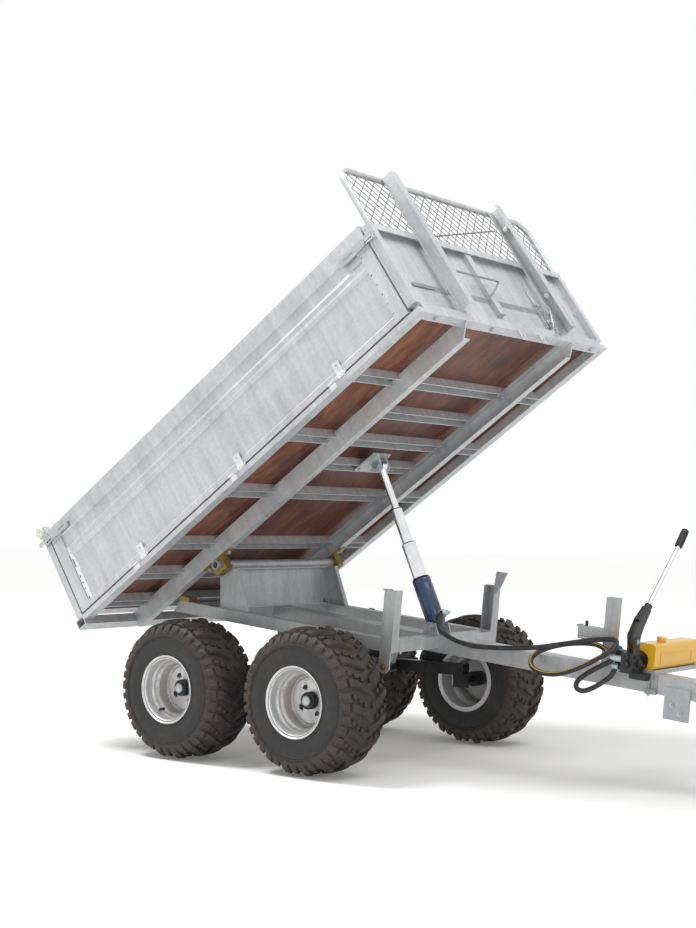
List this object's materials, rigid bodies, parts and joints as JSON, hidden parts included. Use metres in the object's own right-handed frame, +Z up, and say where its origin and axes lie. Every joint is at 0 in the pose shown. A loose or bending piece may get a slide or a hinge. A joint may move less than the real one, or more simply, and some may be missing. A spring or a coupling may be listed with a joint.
{
  "type": "tipping quad trailer",
  "caption": "Galvanised quad-bike tipping trailer on walking-beam axles, hydraulic lift, drop sides, tailgate, meshed headboard and hardwood floor, bed tipped.",
  "frame": {"origin": "on the floor, under the middle of the length and width of the whole trailer", "axes": "+X forwards to the hitch, +Y to the left, +Z up"},
  "size_m": [3.2472, 1.447, 2.3586],
  "materials": {
    "galvanised": "hot-dip galvanised, matt and spangled",
    "black_steel": "black paint, dusty",
    "tyre_rubber": "knobbly tread, dusty",
    "rim_silver": "silver lacquer",
    "chrome": "hard chrome rod",
    "zinc_yellow": "yellow zinc plating",
    "hardwood": "laminated hardwood boards, oiled",
    "barrel_blue": "dark blue enamel",
    "tank_yellow": "yellow enamel",
    "hose_rubber": "black hydraulic hose",
    "pump_iron": "black painted casting",
    "bright_zinc": "bright zinc plating"
  },
  "bodies": {
    "chassis": {"beam_left": "black_steel", "beam_pivot": "black_steel", "beam_right": "black_steel", "coupling_head": "bright_zinc", "drawbar": "galvanised", "frame_left": "galvanised", "frame_right": "galvanised", "hinge_tower": "galvanised", "hose_ferrule": "bright_zinc", "hose_line": "hose_rubber", "hose_loop": "hose_rubber", "pad_left": "zinc_yellow", "pad_right": "zinc_yellow", "pump_bracket": "galvanised", "pump_handle": "black_steel", "pump_head": "pump_iron", "pump_tank": "tank_yellow"},
    "wheel_front_right": {"wheel_front_right_rim": "rim_silver", "wheel_front_right_tyre": "tyre_rubber"},
    "wheel_front_left": {"wheel_front_left_rim": "rim_silver", "wheel_front_left_tyre": "tyre_rubber"},
    "wheel_rear_right": {"wheel_rear_right_rim": "rim_silver", "wheel_rear_right_tyre": "tyre_rubber"},
    "wheel_rear_left": {"wheel_rear_left_rim": "rim_silver", "wheel_rear_left_tyre": "tyre_rubber"},
    "bed": {"bed_floor": "hardwood", "bed_frame": "galvanised", "guard_mesh": "galvanised", "headboard": "galvanised", "headboard_latch": "bright_zinc", "hinge_bracket_left": "zinc_yellow", "hinge_bracket_right": "zinc_yellow", "lift_clevis": "galvanised", "mesh_frame": "galvanised", "rear_post_left": "galvanised", "rear_post_right": "galvanised"},
    "side_right": {"side_right": "galvanised"},
    "side_left": {"side_left": "galvanised"},
    "tailgate": {"tailgate": "galvanised"},
    "lift_barrel": {"lift_barrel": "barrel_blue", "lift_port": "bright_zinc"},
    "lift_stage_large": {"lift_stage_large": "chrome"},
    "lift_stage_small": {"lift_stage_small": "chrome"},
    "lift_rod": {"lift_rod": "chrome"},
    "parking_leg": {"parking_leg": "galvanised"}
  },
  "joints": [
    {"name": "wheel_front_right_spin", "type": "hinge", "parent": "chassis", "child": "wheel_front_right", "pos_m": [-0.13044, -0.59, 0.285], "axis": [0, 1, 0], "continuous": true},
    {"name": "wheel_front_left_spin", "type": "hinge", "parent": "chassis", "child": "wheel_front_left", "pos_m": [-0.13044, 0.59, 0.285], "axis": [0, 1, 0], "continuous": true},
    {"name": "wheel_rear_right_spin", "type": "hinge", "parent": "chassis", "child": "wheel_rear_right", "pos_m": [-0.80544, -0.59, 0.285], "axis": [0, 1, 0], "continuous": true},
    {"name": "wheel_rear_left_spin", "type": "hinge", "parent": "chassis", "child": "wheel_rear_left", "pos_m": [-0.80544, 0.59, 0.285], "axis": [0, 1, 0], "continuous": true},
    {"name": "bed_tip", "type": "hinge", "parent": "chassis", "child": "bed", "pos_m": [-0.81349, 0, 0.78812], "axis": [0, -1, 0], "range_deg": [-39.9, 0]},
    {"name": "side_right_hinge", "type": "hinge", "parent": "bed", "child": "side_right", "pos_m": [-0.87604, -0.706, 0.87982], "axis": [0.8261, 0, 0.5635], "range_deg": [0, 150]},
    {"name": "side_left_hinge", "type": "hinge", "parent": "bed", "child": "side_left", "pos_m": [-0.87604, 0.706, 0.87982], "axis": [-0.8261, 0, -0.5635], "range_deg": [0, 150]},
    {"name": "tailgate_hinge", "type": "hinge", "parent": "bed", "child": "tailgate", "pos_m": [-1.59862, 0, 0.90985], "axis": [0, 1, 0], "range_deg": [0, 95]},
    {"name": "leg_swing", "type": "hinge", "parent": "chassis", "child": "parking_leg", "pos_m": [1.28454, 0.078, 0.32719], "axis": [0, 1, 0], "range_deg": [0, 90]},
    {"name": "lift_swing", "type": "hinge", "parent": "chassis", "child": "lift_barrel", "pos_m": [0.0422, 0, 0.54848], "axis": [0, 1, 0], "range_deg": [-12.06, 0.05]},
    {"name": "lift_stage_large_slide", "type": "slide", "parent": "lift_barrel", "child": "lift_stage_large", "axis": [-0.4089, 0, 0.9126], "range_m": [-0.15707, 0.0003]},
    {"name": "lift_stage_small_slide", "type": "slide", "parent": "lift_stage_large", "child": "lift_stage_small", "axis": [-0.4089, 0, 0.9126], "range_m": [-0.15707, 0.0003]},
    {"name": "lift_rod_slide", "type": "slide", "parent": "lift_stage_small", "child": "lift_rod", "axis": [-0.4089, 0, 0.9126], "range_m": [-0.15707, 0.0003]}
  ],
  "couplings": [
    {"joint": "lift_swing", "follows": "bed_tip", "ratio": 0.301},
    {"joint": "lift_stage_large_slide", "follows": "bed_tip", "m_per_rad": 0.22513},
    {"joint": "lift_stage_small_slide", "follows": "bed_tip", "m_per_rad": 0.22513},
    {"joint": "lift_rod_slide", "follows": "bed_tip", "m_per_rad": 0.22513}
  ]
}
